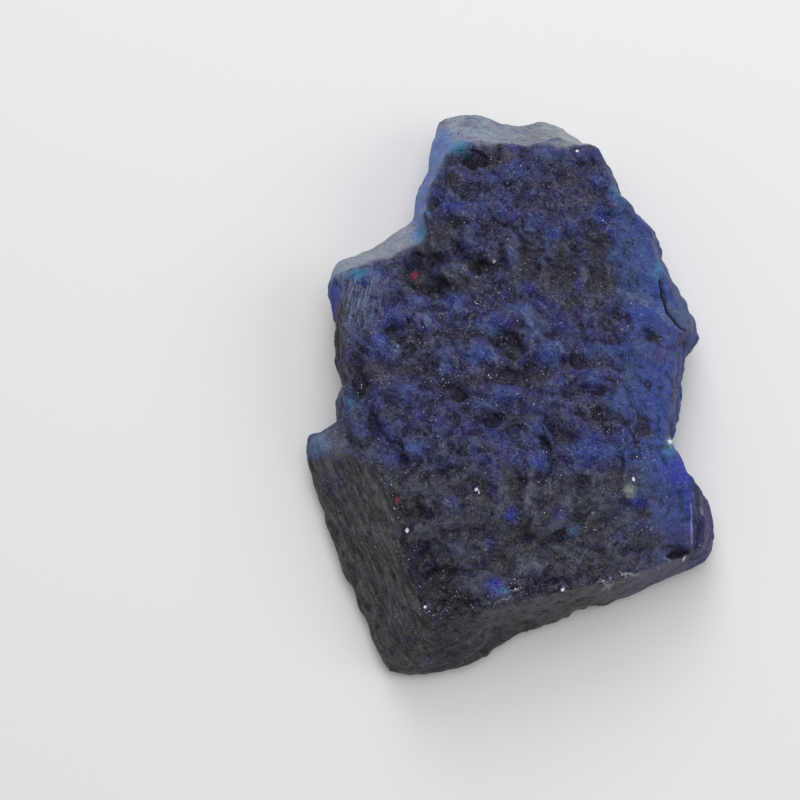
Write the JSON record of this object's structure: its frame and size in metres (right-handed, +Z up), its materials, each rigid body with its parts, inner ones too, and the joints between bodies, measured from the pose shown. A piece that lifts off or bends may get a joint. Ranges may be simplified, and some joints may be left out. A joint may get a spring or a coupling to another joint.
{
  "type": "raw tanzanite",
  "caption": "Rough slab of dark blue gemstone with a pitted upper face, broken flanks and a flat resting face.",
  "frame": {"origin": "centre of the stone's outline on the surface that it lies on", "axes": "+Z up, away from the resting face; +Y along the stone, from its wide broken end to its narrow tongue; +X across it"},
  "size_m": [0.0534, 0.076, 0.0156],
  "materials": {
    "stone": "dull broken stone with a faint waxy sheen and small bright glints"
  },
  "bodies": {
    "root": {"stone": "stone"}
  },
  "joints": []
}
